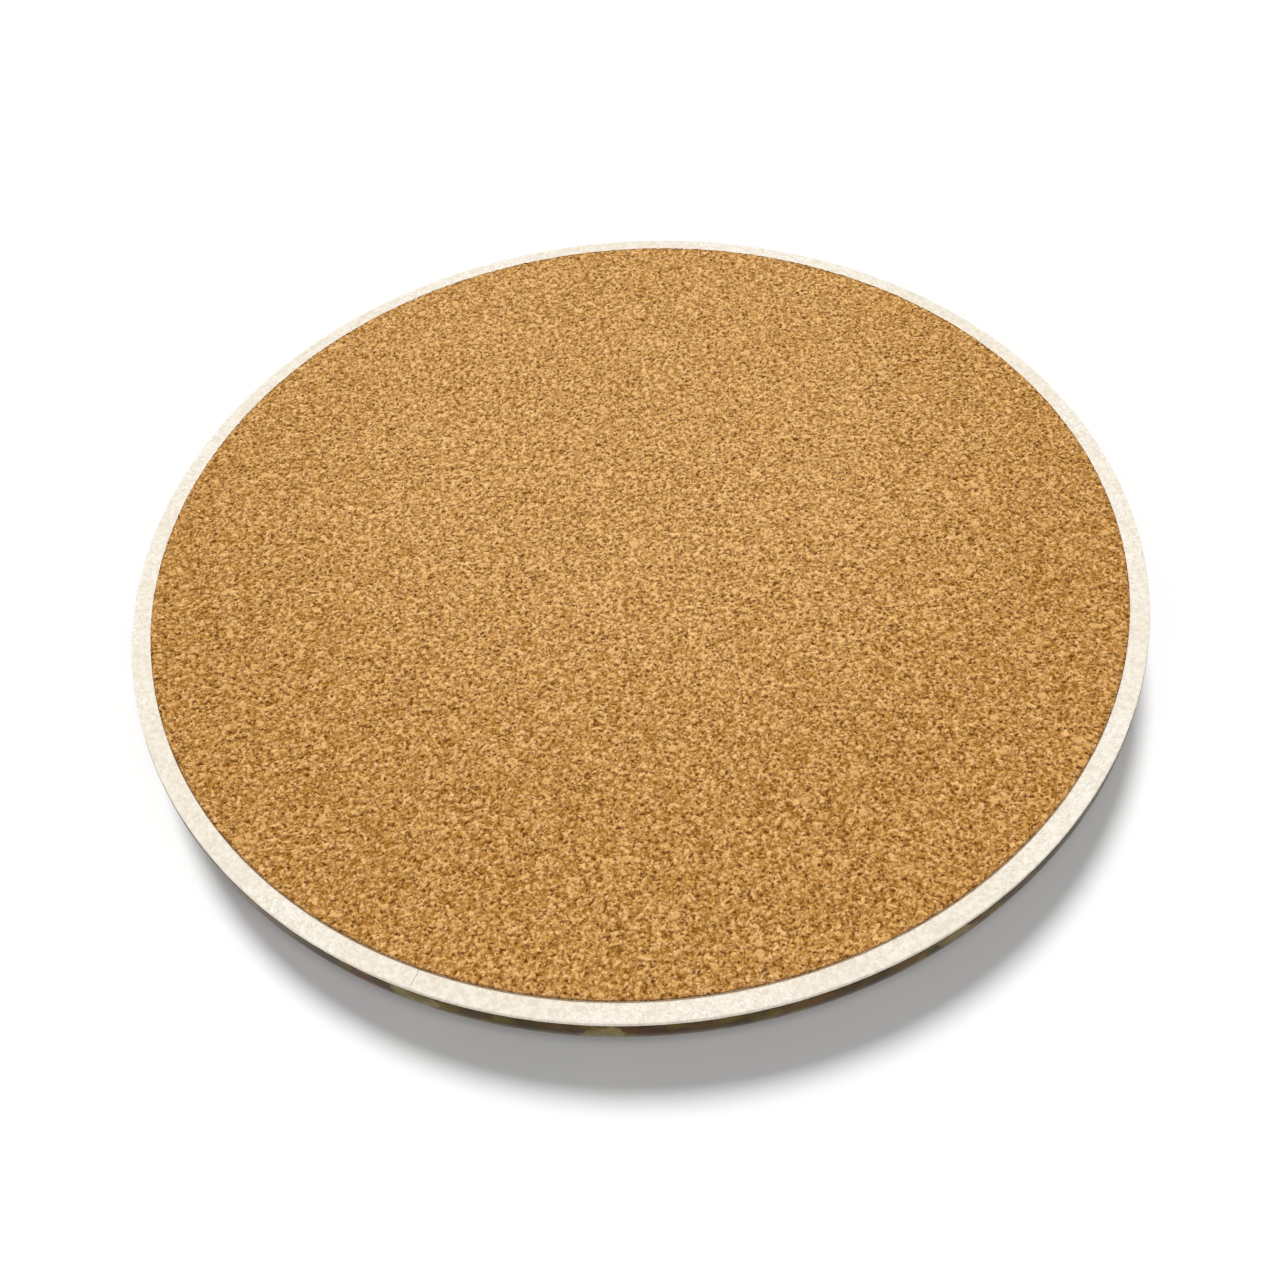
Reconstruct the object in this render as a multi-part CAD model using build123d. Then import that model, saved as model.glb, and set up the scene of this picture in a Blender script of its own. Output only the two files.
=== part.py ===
from build123d import *
import os

# A round cork-backed ceramic coaster, lying on its printed face.
#
# The frame's origin is the centre of the printed face. +Z runs through the thickness, from the printed
# face, which rests at z = 0, to the cork, which faces up. Every piece is a turned shape about Z, and each
# is written as its own STEP file. All sizes are in millimetres.

# Driving dimensions
outer_diameter = 100.0
total_thickness = 6.0
cork_diameter = 96.2
cork_thickness = 0.8
adhesive_thickness = 0.1
cork_standing_proud = 0.4
face_rounding = 4.2
bare_side_height = 0.35
rim_rounding = 0.15
recess_edge_rounding = 0.05
cork_edge_rounding = 0.06
coat_thickness = 0.15

# Worked out from them
outer_radius = outer_diameter / 2
cork_radius = cork_diameter / 2
coated_radius = outer_radius - coat_thickness
face_radius = outer_radius - face_rounding
body_rounding = face_rounding - coat_thickness
rim_level = total_thickness - cork_standing_proud
cork_level = total_thickness - cork_thickness
recess_level = cork_level - adhesive_thickness
coat_end_level = rim_level - bare_side_height


def turned(outline):
    """The solid made by turning a closed (radius, height) outline once round Z."""
    section = Plane.XZ * make_face(outline)
    return revolve(section, Axis.Z, 360)


def arc(centre, radius, start, end):
    """The arc about centre from one angle to another, in degrees, in the (radius, height) half plane."""
    spoke = Vector(radius, 0)
    angles = (start, (start + end) / 2, end)
    return ThreePointArc(*(Vector(*centre) + spoke.rotate(Axis.Z, angle) for angle in angles))


def outline_of(*pieces):
    """Joins points and arcs, in order, into one closed outline with straight runs between them."""
    edges = []
    first = pieces[0]
    here = first
    for piece in pieces[1:]:
        if isinstance(piece, tuple):
            edges.append(Line(here, piece))
            here = piece
        else:
            edges.append(Line(here, piece @ 0))
            edges.append(piece)
            here = piece @ 1
    edges.append(Line(here, first))
    return edges


def ceramic_body():
    """The fired disc: rounded under the print, with a bare rim flush with it and a recess for the cork."""
    rim_centre = (outer_radius - rim_rounding, rim_level - rim_rounding)
    recess_centre = (cork_radius + recess_edge_rounding, rim_level - recess_edge_rounding)
    return turned(
        outline_of(
            (0, coat_thickness),
            arc((face_radius, face_rounding), body_rounding, -90, 0),
            (coated_radius, coat_end_level),
            (outer_radius, coat_end_level),
            arc(rim_centre, rim_rounding, 0, 90),
            arc(recess_centre, recess_edge_rounding, 90, 180),
            (cork_radius, recess_level),
            (0, recess_level),
        )
    )


def printed_coat():
    """The coloured, glazed coat: over the face, round its edge and up the wall to the bare rim."""
    return turned(
        outline_of(
            (0, 0),
            arc((face_radius, face_rounding), face_rounding, -90, 0),
            (outer_radius, coat_end_level),
            (coated_radius, coat_end_level),
            arc((face_radius, face_rounding), body_rounding, 0, -90),
            (0, coat_thickness),
        )
    )


def adhesive_film():
    """The glue film that holds the cork, pressed out to the recess's wall."""
    return turned(
        outline_of(
            (0, recess_level),
            (cork_radius, recess_level),
            (cork_radius, cork_level),
            (0, cork_level),
        )
    )


def cork_disc():
    """The punched disc of agglomerated cork, pressed into the recess, with its edge slightly rounded."""
    edge_centre = (cork_radius - cork_edge_rounding, total_thickness - cork_edge_rounding)
    return turned(
        outline_of(
            (0, cork_level),
            (cork_radius, cork_level),
            arc(edge_centre, cork_edge_rounding, 0, 90),
            (0, total_thickness),
        )
    )


makers = (ceramic_body, printed_coat, adhesive_film, cork_disc)

os.makedirs("parts", exist_ok=True)
for maker in makers:
    export_step(maker(), f"parts/{maker.__name__}.step")
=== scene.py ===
"""A cork-backed ceramic coaster lying on its printed face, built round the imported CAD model."""

import math

import bpy
import numpy as np
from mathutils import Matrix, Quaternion, Vector


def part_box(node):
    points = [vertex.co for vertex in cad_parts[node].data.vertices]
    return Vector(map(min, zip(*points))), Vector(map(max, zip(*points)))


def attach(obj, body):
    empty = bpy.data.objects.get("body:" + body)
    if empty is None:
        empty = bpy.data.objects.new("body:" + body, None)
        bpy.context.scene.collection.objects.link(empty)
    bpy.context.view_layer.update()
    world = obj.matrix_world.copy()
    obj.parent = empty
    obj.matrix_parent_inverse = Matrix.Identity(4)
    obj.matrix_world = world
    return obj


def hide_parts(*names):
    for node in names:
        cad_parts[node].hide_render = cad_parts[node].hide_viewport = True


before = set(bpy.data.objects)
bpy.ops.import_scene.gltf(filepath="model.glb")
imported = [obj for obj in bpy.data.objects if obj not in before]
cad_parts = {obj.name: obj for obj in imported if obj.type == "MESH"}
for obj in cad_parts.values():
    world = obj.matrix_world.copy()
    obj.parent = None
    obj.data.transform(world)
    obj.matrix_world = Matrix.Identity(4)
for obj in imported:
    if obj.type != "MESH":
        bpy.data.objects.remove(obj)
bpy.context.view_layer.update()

MM = 0.001

# Places and sizes from the frame, in metres
CORK_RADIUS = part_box("cork_disc")[1].x
CORK_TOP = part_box("cork_disc")[1].z
CORK_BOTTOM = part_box("cork_disc")[0].z
RECESS_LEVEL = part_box("adhesive_film")[0].z
BODY_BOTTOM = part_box("ceramic_body")[0].z
RIM_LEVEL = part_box("ceramic_body")[1].z
OUTER_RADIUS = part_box("printed_coat")[1].x
FACE_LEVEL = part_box("printed_coat")[0].z
COAT_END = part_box("printed_coat")[1].z

# Shapes that the boxes don't give, the same as in the CAD model
COAT = BODY_BOTTOM - FACE_LEVEL
FACE_ROUNDING = 4.2 * MM
RIM_ROUNDING = 0.15 * MM
RECESS_EDGE = 0.05 * MM
CORK_EDGE = 0.06 * MM

# Where the hair crack crosses the rim, as an angle round Z
HAIRLINE_BEARING = math.radians(-115.5)

# How large the cork's granules are, in millimetres
FINE_GRANULE = 0.28
COARSE_GRANULE = 0.43
BOLD_GRANULE = 0.95

# The cork's tone carries a painted pool of light: it is lightest round a place behind its middle. Painted
# shade lowers its tone by the last number below from the first reach round that place to the second, which
# are in millimetres like the place.
PAINTED_LIGHT_PLACE = (0.0, 20.0, CORK_TOP / MM)
PAINTED_LIGHT_REACH = 20.0
PAINTED_SHADE_REACH = 55.0
PAINTED_SHADE_DEPTH = -0.145

# Shifts that keep one noise from following another
SPOT_SHIFT = (7.3, 2.9, 5.1)
FLECK_SHIFT = (3.1, 9.7, 1.3)

# How finely the pieces are divided
CORK_CELLS = 800
TURNED_STEPS = 2400
FLOOR_HALF = 400 * OUTER_RADIUS

# The camera, set by where it looks from and by how it is turned
CAMERA_DISTANCE = 159.66 * MM
CAMERA_ELEVATION = math.radians(48.61)
CAMERA_YAW = math.radians(0.05)
CAMERA_PITCH = math.radians(-3.08)
CAMERA_ROLL = math.radians(4.80)
CAMERA_LENS = 45.0
CAMERA_SENSOR = 36.0

# The light: which way each lamp's rays travel, and how strong it is. The key's part that falls on the floor
# is a lamp of its own, and only the cork shades it, which gives the photo's narrow shadow.
KEY_TRAVEL = Vector((0.8, -4.2, -5.4))
KEY_SPREAD = math.radians(13)
KEY_STRENGTH = 2.55
FLOOR_TRAVEL = Vector((0.8, -6.3, -6.0))
FLOOR_SPREAD = math.radians(14)
FLOOR_STRENGTH = 3.0
FILL_TRAVEL = Vector((-0.3, 2.6, -5.0))
FILL_SPREAD = math.radians(40)
FILL_STRENGTH = 1.05
SKY_HIGH = 0.08
SKY_LOW = 0.6


def srgb(red, green, blue):
    """A linear colour with alpha from 8-bit sRGB values."""
    linear = []
    for value in (red, green, blue):
        value /= 255
        linear.append(value / 12.92 if value <= 0.04045 else ((value + 0.055) / 1.055) ** 2.4)
    return (*linear, 1.0)


class Web:
    """Adds nodes to a shader or geometry tree. Each call returns the new node's output socket."""

    def __init__(self, tree):
        self.tree = tree

    def feed(self, socket, value):
        """Links value to socket if it is a socket, and sets it otherwise."""
        if isinstance(value, bpy.types.NodeSocket):
            self.tree.links.new(value, socket)
        else:
            socket.default_value = value

    def node(self, kind, inputs=(), **settings):
        """Adds a node, sets its properties, and feeds its inputs, given as {name or number: value}."""
        made = self.tree.nodes.new(kind)
        for name, value in settings.items():
            setattr(made, name, value)
        for name, value in dict(inputs).items():
            self.feed(made.inputs[name], value)
        return made

    def math(self, operation, first, second=0.0):
        return self.node("ShaderNodeMath", {0: first, 1: second}, operation=operation).outputs[0]

    def add(self, first, second):
        return self.math("ADD", first, second)

    def times(self, first, second):
        return self.math("MULTIPLY", first, second)

    def less(self, first, second):
        return self.math("SUBTRACT", first, second)

    def above(self, value, limit):
        return self.math("GREATER_THAN", value, limit)

    def reach(self, x, y):
        """How far (x, y) lies from the Z axis."""
        return self.math("SQRT", self.add(self.times(x, x), self.times(y, y)))

    def vector(self, operation, first, second=None, scale=None):
        made = self.node("ShaderNodeVectorMath", {0: first}, operation=operation)
        if second is not None:
            self.feed(made.inputs[1], second)
        if scale is not None:
            self.feed(made.inputs["Scale"], scale)
        return made.outputs["Value" if operation == "LENGTH" else "Vector"]

    def parts(self, vector):
        """The x, y and z of a vector or colour."""
        return self.node("ShaderNodeSeparateXYZ", {0: vector}).outputs

    def noise(self, place, size, detail=2.0, roughness=0.5):
        """A noise node whose lumps are about size across, in place's units."""
        sockets = {"Vector": place, "Scale": 1 / size, "Detail": detail, "Roughness": roughness}
        return self.node("ShaderNodeTexNoise", sockets)

    def cells(self, place, size, feature="F1"):
        """A Voronoi node whose cells are about size across."""
        sockets = {"Vector": place, "Scale": 1 / size, "Randomness": 1.0}
        return self.node("ShaderNodeTexVoronoi", sockets, feature=feature)

    def fade(self, value, start, end, low=0.0, high=1.0):
        """Goes smoothly from low at start to high at end."""
        sockets = {"Value": value, "From Min": start, "From Max": end, "To Min": low, "To Max": high}
        return self.node("ShaderNodeMapRange", sockets, interpolation_type="SMOOTHSTEP").outputs[0]

    def blend(self, amount, first, second):
        """A float between first and second."""
        return self.node("ShaderNodeMix", {0: amount, 2: first, 3: second}, data_type="FLOAT").outputs[0]

    def tint(self, amount, first, second):
        """A colour between first and second."""
        return self.node("ShaderNodeMix", {0: amount, 6: first, 7: second}, data_type="RGBA").outputs[2]

    def ramp(self, value, stops):
        """A colour ramp through stops, given as (position, colour)."""
        made = self.node("ShaderNodeValToRGB", {0: value})
        ramp = made.color_ramp
        while len(ramp.elements) < len(stops):
            ramp.elements.new(0.5)
        for element, (position, colour) in zip(ramp.elements, stops):
            element.position = position
            element.color = colour
        return made.outputs[0]


# ---------------------------------------------------------------- cork pattern


def cork_pattern(web, place):
    """The granules at place, in millimetres: their tone, with painted light and shade across the disc, the
    crevices between them, and the open pits.
    """
    middle = (0.5, 0.5, 0.5)
    swirl = web.vector("SUBTRACT", web.noise(place, 0.8, 2.0).outputs["Color"], middle)
    ripple = web.vector("SUBTRACT", web.noise(place, 0.22, 2.0).outputs["Color"], middle)
    bent = web.vector("ADD", place, web.vector("SCALE", swirl, scale=0.45))
    bent = web.vector("ADD", bent, web.vector("SCALE", ripple, scale=0.20))
    fine = web.parts(web.cells(bent, FINE_GRANULE).outputs["Color"])
    coarse = web.parts(web.cells(bent, COARSE_GRANULE).outputs["Color"])
    edge = web.cells(bent, COARSE_GRANULE, "DISTANCE_TO_EDGE").outputs["Distance"]
    edge = web.times(edge, COARSE_GRANULE)
    bold = web.cells(bent, BOLD_GRANULE)
    bold_random = web.parts(bold.outputs["Color"])
    round_off = web.fade(bold.outputs["Distance"], 0.34, 0.50, 1.0, 0.0)
    flat = web.times(web.times(web.above(bold_random[0], 0.965), round_off), 0.8)
    hole = web.fade(bold.outputs["Distance"], 0.14, 0.30, 1.0, 0.0)
    hole = web.times(web.above(bold_random[1], 0.985), hole)
    fleck = web.fade(bold.outputs["Distance"], 0.10, 0.18, 1.0, 0.0)
    fleck = web.times(web.above(bold_random[2], 0.9992), fleck)
    loose = web.less(1.0, flat)
    patchy = web.less(web.noise(place, 0.24, 2.0, 0.6).outputs[0], 0.5)
    cloud = web.less(web.noise(place, 0.85, 1.0).outputs[0], 0.5)
    seam = web.fade(web.noise(place, 0.50, 1.0).outputs[0], 0.34, 0.60)
    crevice = web.times(web.times(web.fade(edge, 0.0, 0.12, 1.0, 0.0), seam), loose)
    open_spot = web.noise(web.vector("ADD", place, SPOT_SHIFT), 0.32, 1.0).outputs[0]
    pit = web.math("MAXIMUM", web.times(web.fade(open_spot, 0.58, 0.70), loose), hole)
    tone = web.add(web.times(web.less(fine[0], 0.5), 0.36), web.times(web.less(coarse[1], 0.5), 0.36))
    tone = web.add(tone, web.times(patchy, 0.88))
    tone = web.add(tone, web.times(cloud, 0.22))
    tone = web.add(0.765, web.blend(flat, tone, web.add(0.02, web.times(bold_random[2], 0.20))))
    # Painted light and shade: the tone falls with distance from a painted pool of light behind the middle
    off_painted_light = web.vector("LENGTH", web.vector("SUBTRACT", place, PAINTED_LIGHT_PLACE))
    tone = web.add(tone, web.fade(off_painted_light, PAINTED_LIGHT_REACH, PAINTED_SHADE_REACH, 0.0, PAINTED_SHADE_DEPTH))
    return {
        "tone": tone,
        "crevice": crevice,
        "pit": pit,
        "flat": flat,
        "fleck": fleck,
        "edge": edge,
        "level": coarse[0],
    }


def cork_depth(web, seen):
    """How far the cork's surface lies below its highest level, in millimetres, from its pattern."""
    step = web.times(seen["level"], 0.04)
    dome = web.fade(seen["edge"], 0.0, 0.2, 0.05, 0.0)
    lump = web.times(seen["tone"], -0.04)
    rough = web.add(web.add(step, dome), web.add(lump, 0.04))
    rough = web.times(rough, web.less(1.0, web.times(seen["flat"], 0.8)))
    depth = web.add(rough, web.times(seen["crevice"], 0.05))
    return web.add(depth, web.times(seen["pit"], 0.12))


# ---------------------------------------------------------------- mesh making


def lay_flat(mesh, flat):
    """A map for baking: each vertex lies at flat, in a unit disc. The last face has a corner of its own."""
    disc_middle, disc_radius = 0.48, 0.47
    corner_middle, corner_radius = 0.93, 0.06
    corners = np.empty(len(mesh.loops), np.int32)
    mesh.loops.foreach_get("vertex_index", corners)
    spread = disc_middle + disc_radius * flat[corners]
    last = mesh.polygons[-1].loop_start
    spread[last:] = corner_middle + corner_radius * flat[corners[last:]]
    mesh.uv_layers.new(name="OFBake").uv.foreach_set("vector", spread.astype(np.float32).ravel())


def mesh_object(name, vertices, faces, flat, attributes, material):
    """An object from arrays of vertices, faces and a flat map, with vector attributes on its vertices."""
    mesh = bpy.data.meshes.new(name)
    mesh.from_pydata(vertices, [], faces)
    lay_flat(mesh, flat)
    for key, values in attributes.items():
        layer = mesh.attributes.new(key, "FLOAT_VECTOR", "POINT")
        layer.data.foreach_set("vector", np.asarray(values, np.float32).ravel())
    mesh.shade_smooth()
    mesh.materials.append(material)
    made = bpy.data.objects.new(name, mesh)
    bpy.context.scene.collection.objects.link(made)
    return made


def pressed(piece, depth):
    """Moves each vertex against its "outward" direction by depth(web, place in mm), and keeps the result."""
    group = bpy.data.node_groups.new(piece.name + "_relief", "GeometryNodeTree")
    group.interface.new_socket("Geometry", in_out="INPUT", socket_type="NodeSocketGeometry")
    group.interface.new_socket("Geometry", in_out="OUTPUT", socket_type="NodeSocketGeometry")
    web = Web(group)
    entry = web.node("NodeGroupInput")
    place = web.node("GeometryNodeInputNamedAttribute", {"Name": "grain_at"}, data_type="FLOAT_VECTOR")
    outward = web.node("GeometryNodeInputNamedAttribute", {"Name": "outward"}, data_type="FLOAT_VECTOR")
    sunk = web.times(depth(web, place.outputs[0]), -MM)
    offset = web.vector("SCALE", outward.outputs[0], scale=sunk)
    moved = web.node("GeometryNodeSetPosition", {"Geometry": entry.outputs[0], "Offset": offset})
    web.node("NodeGroupOutput", {0: moved.outputs[0]})
    piece.modifiers.new("relief", "NODES").node_group = group
    bpy.context.view_layer.update()
    graph = bpy.context.evaluated_depsgraph_get()
    before = piece.data
    result = piece.evaluated_get(graph)
    piece.data = bpy.data.meshes.new_from_object(result, preserve_all_data_layers=True, depsgraph=graph)
    piece.modifiers.clear()
    piece.data.name = before.name
    bpy.data.meshes.remove(before)
    bpy.data.node_groups.remove(group)


def disc_grid(cells, radius):
    """A square grid of (cells + 1) squared points laid over a disc, row by row, with even areas."""
    line = np.linspace(-1, 1, cells + 1)
    across, along = np.meshgrid(line, line)
    wide = np.abs(across) > np.abs(along)
    reach = np.where(wide, across, along)
    safe = np.where(reach == 0, 1, reach)
    angle = np.where(wide, math.pi / 4 * along / safe, math.pi / 2 - math.pi / 4 * across / safe)
    return np.stack([radius * reach * np.cos(angle), radius * reach * np.sin(angle)], -1).reshape(-1, 2)


def grid_faces(cells):
    """The grid's quads, facing up, and its border's indices, anticlockwise."""
    index = np.arange((cells + 1) ** 2).reshape(cells + 1, cells + 1)
    quads = np.stack([index[:-1, :-1], index[:-1, 1:], index[1:, 1:], index[1:, :-1]], -1)
    border = np.concatenate([index[0, :-1], index[:-1, -1], index[-1, :0:-1], index[:0:-1, 0]])
    return quads.reshape(-1, 4).tolist(), border


def skirt(ring, start):
    """Quads between a ring of indices and the next ring, whose indices begin at start."""
    count = len(ring)
    following = np.arange(start, start + count)
    quads = np.stack([ring, following, np.roll(following, -1), np.roll(ring, -1)], -1)
    return quads.tolist(), following


def cork_mesh(material):
    """The cork: a fine grid over the face, a rounded edge, a cut wall, and a flat back."""
    flat = CORK_RADIUS - CORK_EDGE
    face = disc_grid(CORK_CELLS, flat)
    faces, ring = grid_faces(CORK_CELLS)
    points = [np.column_stack([face, np.full(len(face), CORK_TOP)])]
    maps = [face]
    outward = [np.tile((0.0, 0.0, 1.0), (len(face), 1))]
    spokes = face[ring] / flat
    profile = []
    for angle in np.radians((30, 60, 90)):
        out, up = math.sin(angle), math.cos(angle)
        profile.append((flat + CORK_EDGE * out, CORK_TOP - CORK_EDGE * (1 - up), out, up))
    # The wall's last ring is the back's edge, which isn't pressed in
    wall_steps = 6
    wall_top = CORK_TOP - CORK_EDGE
    for step in range(1, wall_steps + 1):
        level = wall_top + (CORK_BOTTOM - wall_top) * step / wall_steps
        profile.append((CORK_RADIUS, level, float(step < wall_steps), 0.0))
    start = len(face)
    whole = CORK_RADIUS + CORK_TOP - CORK_BOTTOM
    for radius, level, out, up in profile:
        maps.append(spokes * (radius + CORK_TOP - level))
        points.append(np.column_stack([spokes * radius, np.full(len(spokes), level)]))
        outward.append(np.column_stack([spokes * out, np.full(len(spokes), up)]))
        quads, ring = skirt(ring, start)
        faces += quads
        start += len(ring)
    faces.append(ring[::-1].tolist())
    points = np.concatenate(points)
    attributes = {"grain_at": points / MM, "outward": np.concatenate(outward)}
    flat_map = np.concatenate(maps) / whole
    cork = mesh_object("cork_disc_granular", points, faces, flat_map, attributes, material)
    pressed(cork, lambda web, place: cork_depth(web, cork_pattern(web, place)))
    return cork


def arc_points(centre, radius, start, end, steps):
    """Points (radius, height) along an arc, with the end left out."""
    angles = np.radians(np.linspace(start, end, steps, endpoint=False))
    return [(centre[0] + radius * math.cos(a), centre[1] + radius * math.sin(a)) for a in angles]


def run_points(start, end, steps):
    """Points (radius, height) along a straight run, with the end left out."""
    shares = np.linspace(0, 1, steps, endpoint=False)
    return [tuple(np.array(start) * (1 - s) + np.array(end) * s) for s in shares]


def turned_mesh(name, outline, material):
    """A closed solid of revolution, whose outline runs from its lower flat face's edge to its upper one's."""
    outline = np.array(outline)
    turns = np.linspace(0, 2 * math.pi, TURNED_STEPS, endpoint=False)
    spokes = np.column_stack([np.cos(turns), np.sin(turns)])
    along = np.gradient(outline, axis=0)
    normal = np.column_stack([along[:, 1], -along[:, 0]])
    normal /= np.linalg.norm(normal, axis=1)[:, None]
    lengths = np.concatenate([[0.0], np.linalg.norm(np.diff(outline, axis=0), axis=1)])
    reaches = outline[0, 0] + np.cumsum(lengths)
    maps = [spokes * reach / reaches[-1] for reach in reaches]
    points, outward, faces = [], [], []
    ring = np.arange(TURNED_STEPS)
    faces.append(ring[::-1].tolist())
    for number, ((radius, level), (out, up)) in enumerate(zip(outline, normal)):
        points.append(np.column_stack([spokes * radius, np.full(TURNED_STEPS, level)]))
        outward.append(np.column_stack([spokes * out, np.full(TURNED_STEPS, up)]))
        if number:
            quads, ring = skirt(ring, number * TURNED_STEPS)
            faces += [quad[::-1] for quad in quads]
    faces.append(ring.tolist())
    points = np.concatenate(points)
    attributes = {"grain_at": points / MM, "outward": np.concatenate(outward)}
    return mesh_object(name, points, faces, np.concatenate(maps), attributes, material)


def hairline(web, place):
    """A hair crack that runs across the bare rim, on the near left side: 1 in its middle, 0 off it."""
    x, y = web.parts(place)[:2]
    wander = web.times(web.less(web.noise(place, 0.8, 1.0).outputs[0], 0.5), 0.5)
    bearing = web.math("ARCTAN2", y, x)
    across = web.add(web.times(web.less(bearing, HAIRLINE_BEARING), OUTER_RADIUS / MM), wander)
    near = web.fade(web.math("ABSOLUTE", across), 0.02, 0.09, 1.0, 0.0)
    reach = web.reach(x, y)
    return web.times(near, web.fade(reach, OUTER_RADIUS / MM - 0.6, OUTER_RADIUS / MM - 0.2, 1.0, 0.0))


def body_depth(web, place):
    """The bare clay's sandy surface, which is smooth where the coat or the cork covers it."""
    x, y, z = web.parts(place)
    reach = web.reach(x, y)
    above_coat = web.fade(z, COAT_END / MM - 0.20, COAT_END / MM)
    off_cork = web.fade(reach, CORK_RADIUS / MM, CORK_RADIUS / MM + 0.10)
    grain = web.times(web.noise(place, 0.22, 3.0).outputs[0], 0.03)
    swell = web.times(web.noise(place, 1.6, 2.0).outputs[0], 0.04)
    depth = web.add(web.add(grain, swell), web.times(hairline(web, place), 0.05))
    return web.times(depth, web.times(above_coat, off_cork))


def body_mesh(material):
    """The fired clay disc, with its recess and its bare rim."""
    face_centre = (OUTER_RADIUS - FACE_ROUNDING, FACE_ROUNDING)
    coated = OUTER_RADIUS - COAT
    rim_centre = (OUTER_RADIUS - RIM_ROUNDING, RIM_LEVEL - RIM_ROUNDING)
    recess_centre = (CORK_RADIUS + RECESS_EDGE, RIM_LEVEL - RECESS_EDGE)
    lip = COAT_END - 1.5 * COAT
    outline = [
        *arc_points(face_centre, FACE_ROUNDING - COAT, -90, 0, 8),
        *run_points((coated, FACE_ROUNDING), (coated, lip), 2),
        *run_points((coated, lip), (OUTER_RADIUS - 0.1 * COAT, COAT_END - 0.5 * COAT), 3),
        *run_points((OUTER_RADIUS - 0.1 * COAT, COAT_END - 0.5 * COAT), (OUTER_RADIUS, rim_centre[1]), 3),
        *arc_points(rim_centre, RIM_ROUNDING, 0, 90, 7),
        *run_points((rim_centre[0], RIM_LEVEL), (recess_centre[0], RIM_LEVEL), 15),
        *arc_points(recess_centre, RECESS_EDGE, 90, 180, 3),
        *run_points((CORK_RADIUS, recess_centre[1]), (CORK_RADIUS, RECESS_LEVEL), 3),
        (CORK_RADIUS, RECESS_LEVEL),
    ]
    body = turned_mesh("ceramic_body_bisque", outline, material)
    pressed(body, body_depth)
    return body


def coat_mesh(material):
    """The printed, glazed coat: face, rounded edge and side, thinning out at its upper edge."""
    face_centre = (OUTER_RADIUS - FACE_ROUNDING, FACE_ROUNDING)
    coated = OUTER_RADIUS - COAT
    outline = [
        *arc_points(face_centre, FACE_ROUNDING, -90, 0, 30),
        *run_points((OUTER_RADIUS, FACE_ROUNDING), (OUTER_RADIUS, COAT_END - 0.3 * COAT), 8),
        *run_points((OUTER_RADIUS, COAT_END - 0.3 * COAT), (OUTER_RADIUS - 0.3 * COAT, COAT_END), 3),
        *run_points((OUTER_RADIUS - 0.3 * COAT, COAT_END), (coated, COAT_END - 2 * COAT), 3),
        *run_points((coated, COAT_END - 2 * COAT), (coated, FACE_ROUNDING), 2),
        *arc_points(face_centre, FACE_ROUNDING - COAT, 0, -90, 8),
        (face_centre[0], BODY_BOTTOM),
    ]
    return turned_mesh("printed_coat_glazed", outline, material)


# ---------------------------------------------------------------- materials


def new_material(name):
    """A node material, its web and its shader."""
    material = bpy.data.materials.new(name)
    material.use_nodes = True
    tree = material.node_tree
    tree.nodes.clear()
    web = Web(tree)
    shader = web.node("ShaderNodeBsdfPrincipled")
    web.node("ShaderNodeOutputMaterial", {"Surface": shader.outputs[0]})
    return material, web, shader


def kept_place(web):
    """Where each point lay before the relief was pressed in, in millimetres."""
    return web.node("ShaderNodeAttribute", attribute_name="grain_at").outputs["Vector"]


def cork_tone(level):
    """Cork's colour at a lightness from 0 to 255: tan when light, and a more saturated brown when dark."""
    channels = (level + 43, 1.04 * level - 16, 1.13 * level - 102)
    return srgb(*(min(max(value, 0), 255) for value in channels))


def cork_material():
    """Pressed cork granules: tan, a few of them pale, with dark pits and brown crevices between them, the
    crevices brown partly by their own colour and partly by painted shade.
    """
    material, web, shader = new_material("agglomerated_cork")
    place = kept_place(web)
    seen = cork_pattern(web, place)
    levels = ((0.0, 94), (0.25, 126), (0.5, 162), (0.65, 182), (0.8, 197), (1.0, 212))
    stops = [(share, cork_tone(level)) for share, level in levels]
    colour = web.ramp(seen["tone"], stops)
    # The crevices are painted brown: partly the cork's own darker colour, partly painted shade in the gaps
    # between granules
    colour = web.tint(web.times(seen["crevice"], 0.75), colour, srgb(136, 80, 2))
    colour = web.tint(web.times(seen["pit"], 0.76), colour, srgb(114, 56, 0))
    colour = web.tint(seen["fleck"], colour, srgb(250, 240, 225))
    x, y, z = web.parts(place)
    reach = web.reach(x, y)
    worn = web.fade(reach, CORK_RADIUS / MM - 0.45, CORK_RADIUS / MM - 0.05, 0.0, 0.3)
    colour = web.tint(worn, colour, srgb(150, 102, 66))
    # Painted shade: the cork's wall, below its top edge, is painted dark brown as a wall in shadow
    cut = web.fade(z, CORK_TOP / MM - 0.04, CORK_TOP / MM - 0.14)
    colour = web.tint(web.times(cut, 0.9), colour, srgb(74, 46, 22))
    # The wall's lowest part, next to the rim, is painted paler, towards a cream brown
    pale_wall_foot = web.fade(z, RIM_LEVEL / MM + 0.18, RIM_LEVEL / MM + 0.04)
    colour = web.tint(web.times(pale_wall_foot, 0.72), colour, srgb(226, 204, 176))
    shader.inputs["Specular IOR Level"].default_value = 0.05
    web.feed(shader.inputs["Base Color"], colour)
    web.feed(shader.inputs["Roughness"], web.fade(seen["tone"], 0.0, 1.0, 0.95, 0.75))
    grain = web.noise(place, 0.09, 2.0).outputs[0]
    height = web.less(web.times(grain, 0.015), cork_depth(web, seen))
    bump = web.node("ShaderNodeBump", {"Height": height, "Strength": 0.6, "Distance": MM})
    web.feed(shader.inputs["Normal"], bump.outputs[0])
    return material


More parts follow.
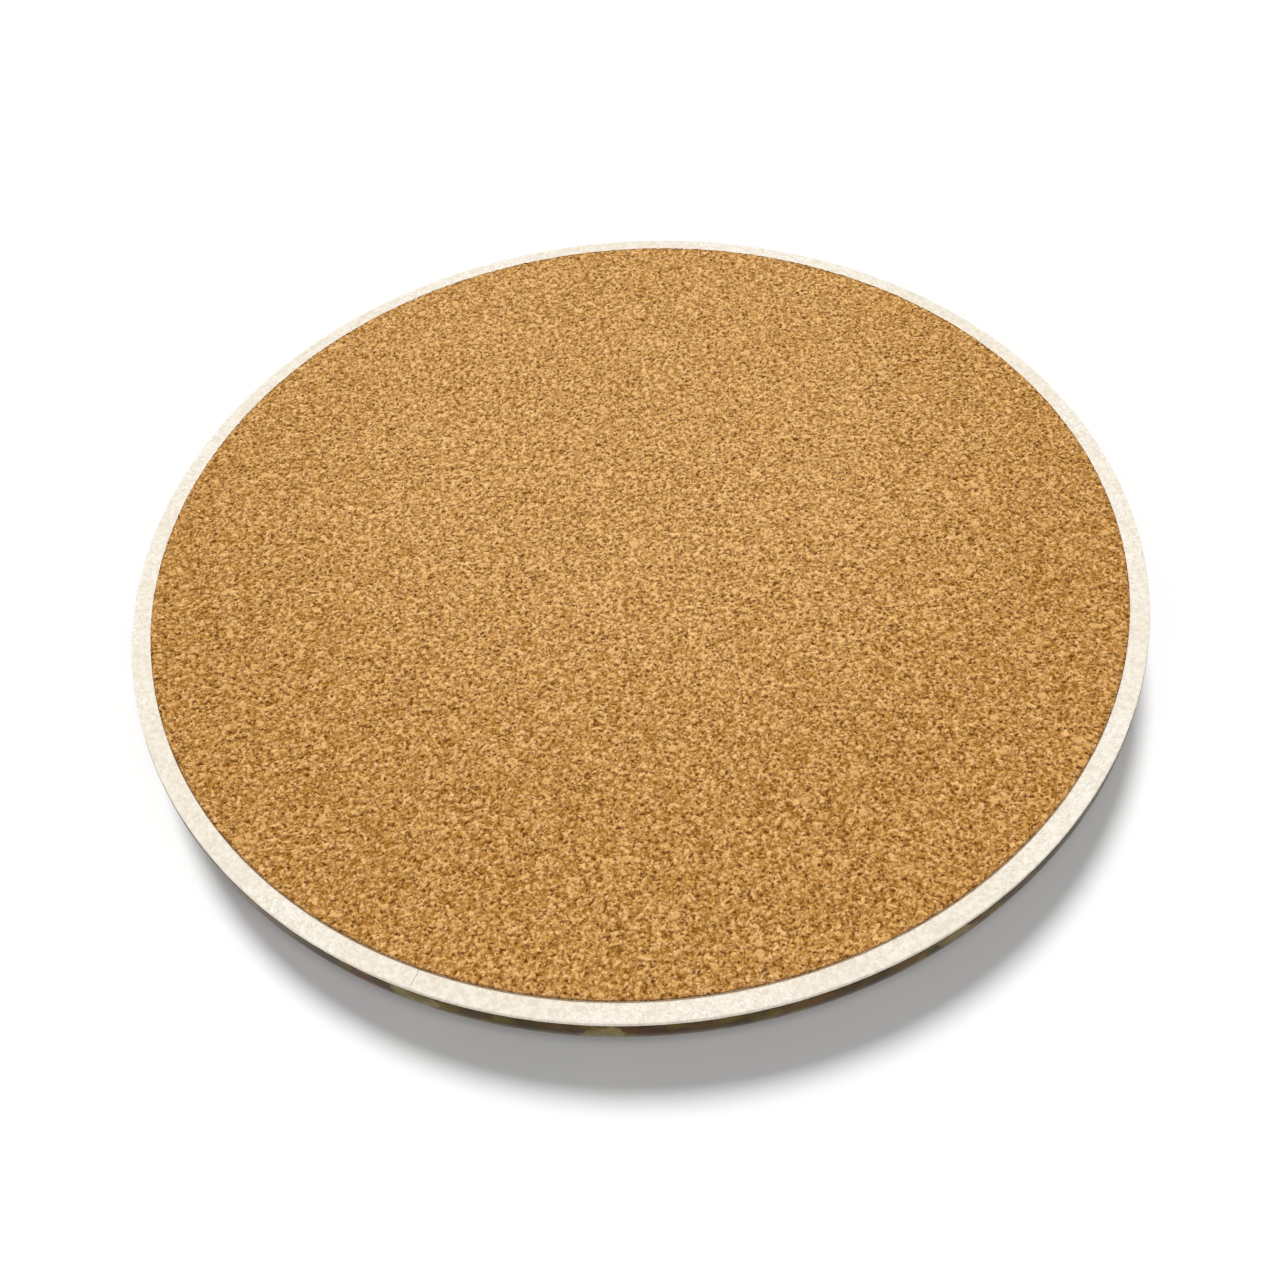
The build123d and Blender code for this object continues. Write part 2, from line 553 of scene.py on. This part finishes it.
def bisque_material():
    """Bare fired clay: cream, matt and finely mottled, with pale sandy specks."""
    material, web, shader = new_material("bare_bisque")
    place = kept_place(web)
    mottle = web.fade(web.noise(place, 0.45, 3.0, 0.6).outputs[0], 0.35, 0.65)
    colour = web.tint(mottle, srgb(234, 223, 203), srgb(250, 241, 225))
    sandy = web.fade(web.noise(place, 14.0, 1.0).outputs[0], 0.45, 0.60, 0.2, 1.0)
    specks = web.times(web.fade(web.noise(place, 0.24, 2.0).outputs[0], 0.52, 0.62), sandy)
    colour = web.tint(web.times(specks, 0.8), colour, srgb(255, 253, 248))
    grit = web.noise(web.vector("ADD", place, FLECK_SHIFT), 0.22, 2.0).outputs[0]
    flecks = web.fade(grit, 0.60, 0.70)
    colour = web.tint(web.times(flecks, 0.40), colour, srgb(216, 206, 194))
    colour = web.tint(web.times(hairline(web, place), 0.55), colour, srgb(120, 104, 88))
    web.feed(shader.inputs["Base Color"], colour)
    web.feed(shader.inputs["Roughness"], web.fade(specks, 0.0, 1.0, 0.85, 0.65))
    shader.inputs["Specular IOR Level"].default_value = 0.3
    grain = web.noise(place, 0.13, 3.0).outputs[0]
    bump = web.node("ShaderNodeBump", {"Height": web.times(grain, 0.03), "Strength": 0.6, "Distance": MM})
    web.feed(shader.inputs["Normal"], bump.outputs[0])
    return material


def print_material():
    """The fired print under its glaze: a generic mottle of olive, brown, khaki and dark red."""
    material, web, shader = new_material("printed_glaze")
    place = kept_place(web)
    soft = web.vector("SCALE", web.noise(place, 1.5, 2.0).outputs["Color"], scale=2.0)
    drifted = web.vector("ADD", place, soft)
    patch = web.parts(web.cells(drifted, 3.6).outputs["Color"])
    shade = web.noise(place, 2.6, 3.0, 0.6).outputs[0]
    olive = web.tint(web.fade(shade, 0.35, 0.65), srgb(60, 48, 8), srgb(104, 86, 26))
    brown = web.tint(web.fade(shade, 0.35, 0.65), srgb(62, 44, 16), srgb(94, 68, 30))
    khaki = web.tint(web.fade(shade, 0.35, 0.65), srgb(96, 80, 34), srgb(136, 120, 76))
    colour = web.tint(web.fade(patch[0], 0.52, 0.58), olive, brown)
    colour = web.tint(web.fade(patch[1], 0.88, 0.94), colour, khaki)
    colour = web.tint(web.fade(patch[2], 0.80, 0.88), colour, srgb(90, 40, 20))
    web.feed(shader.inputs["Base Color"], colour)
    gloss = web.noise(place, 0.6, 2.0).outputs[0]
    web.feed(shader.inputs["Roughness"], web.fade(gloss, 0.3, 0.7, 0.14, 0.24))
    shader.inputs["Specular IOR Level"].default_value = 0.1
    ripple = web.noise(place, 1.4, 2.0).outputs[0]
    bump = web.node("ShaderNodeBump", {"Height": web.times(ripple, 0.02), "Strength": 0.4, "Distance": MM})
    web.feed(shader.inputs["Normal"], bump.outputs[0])
    return material


def glue_material():
    """Dark amber glue, a little uneven."""
    material, web, shader = new_material("adhesive")
    place = web.vector("SCALE", web.node("ShaderNodeTexCoord").outputs["Object"], scale=1 / MM)
    lumps = web.noise(place, 0.5, 2.0).outputs[0]
    web.feed(shader.inputs["Base Color"], web.ramp(lumps, [(0.3, srgb(46, 26, 12)), (0.7, srgb(92, 56, 28))]))
    web.feed(shader.inputs["Roughness"], web.fade(lumps, 0.3, 0.7, 0.4, 0.7))
    return material


def floor_material():
    """A plain, near-white, matt floor."""
    material, web, shader = new_material("floor")
    place = web.node("ShaderNodeTexCoord").outputs["Object"]
    cast = web.noise(place, 0.4, 1.0).outputs[0]
    shades = [(0.3, srgb(249, 249, 249)), (0.7, srgb(252, 252, 252))]
    web.feed(shader.inputs["Base Color"], web.ramp(cast, shades))
    shader.inputs["Roughness"].default_value = 0.9
    shader.inputs["Specular IOR Level"].default_value = 0.1
    return material


# ---------------------------------------------------------------- stage


def make_floor():
    """A large flat floor at the level that the coaster lies on."""
    corners = [(-1, -1), (1, -1), (1, 1), (-1, 1)]
    points = [(x * FLOOR_HALF, y * FLOOR_HALF, FACE_LEVEL) for x, y in corners]
    mesh = bpy.data.meshes.new("floor")
    mesh.from_pydata(points, [], [(0, 1, 2, 3)])
    mesh.materials.append(floor_material())
    floor = bpy.data.objects.new("floor", mesh)
    bpy.context.scene.collection.objects.link(floor)
    return floor


def add_sun(name, travel, spread, strength):
    """A sun lamp whose rays travel along travel."""
    lamp = bpy.data.lights.new(name, "SUN")
    lamp.energy = strength
    lamp.angle = spread
    sun = bpy.data.objects.new(name, lamp)
    sun.rotation_mode = "QUATERNION"
    sun.rotation_quaternion = travel.to_track_quat("-Z", "Y")
    bpy.context.scene.collection.objects.link(sun)
    return sun


def link_light(sun, lit, shading):
    """Lets a lamp light only the objects in lit, and be shaded only by those in shading."""
    for purpose, members in (("receiver", lit), ("blocker", shading)):
        group = bpy.data.collections.new(f"{sun.name}_{purpose}s")
        for member in members:
            group.objects.link(member)
        setattr(sun.light_linking, f"{purpose}_collection", group)


def make_light(floor, cork, body, coat, glue):
    """A key light from behind, one for the floor alone, a wide fill from the front, and a dim sky."""
    link_light(add_sun("key", KEY_TRAVEL, KEY_SPREAD, KEY_STRENGTH), (cork, body, coat, glue), (body, coat))
    link_light(add_sun("floor_key", FLOOR_TRAVEL, FLOOR_SPREAD, FLOOR_STRENGTH), (floor,), (cork,))
    add_sun("fill", FILL_TRAVEL, FILL_SPREAD, FILL_STRENGTH)
    world = bpy.data.worlds.new("studio")
    world.use_nodes = True
    world.node_tree.nodes.clear()
    web = Web(world.node_tree)
    height = web.parts(web.node("ShaderNodeTexCoord").outputs["Generated"])[2]
    strength = web.fade(height, 0.05, 0.3, SKY_LOW, SKY_HIGH)
    glow = web.node("ShaderNodeBackground", {"Color": (1, 1, 1, 1), "Strength": strength})
    web.node("ShaderNodeOutputWorld", {"Surface": glow.outputs[0]})
    bpy.context.scene.world = world


def make_camera():
    """A camera above the near side, looking down at the cork."""
    lens = bpy.data.cameras.new("camera")
    lens.lens = CAMERA_LENS
    lens.sensor_width = CAMERA_SENSOR
    lens.clip_start = 1 * MM
    lens.clip_end = 100
    back = Vector((0, -math.cos(CAMERA_ELEVATION), math.sin(CAMERA_ELEVATION)))
    aim = (-back).to_track_quat("-Z", "Y")
    turn = Quaternion((0, 1, 0), CAMERA_YAW) @ Quaternion((1, 0, 0), CAMERA_PITCH)
    turn = turn @ Quaternion((0, 0, -1), CAMERA_ROLL)
    camera = bpy.data.objects.new("camera", lens)
    camera.rotation_mode = "QUATERNION"
    camera.rotation_quaternion = aim @ turn
    camera.location = Vector((0, 0, CORK_TOP)) + back * CAMERA_DISTANCE
    bpy.context.scene.collection.objects.link(camera)
    bpy.context.scene.camera = camera


def place_piece(piece, node):
    """Lets a piece stand for its CAD node."""
    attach(piece, "root")
    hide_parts(node)


make_camera()
floor = make_floor()
cork = cork_mesh(cork_material())
body = body_mesh(bisque_material())
coat = coat_mesh(print_material())
place_piece(cork, "cork_disc")
place_piece(body, "ceramic_body")
place_piece(coat, "printed_coat")
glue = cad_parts["adhesive_film"]
glue.data.materials.clear()
glue.data.materials.append(glue_material())
make_light(floor, cork, body, coat, glue)
bpy.context.scene.view_settings.view_transform = "Standard"
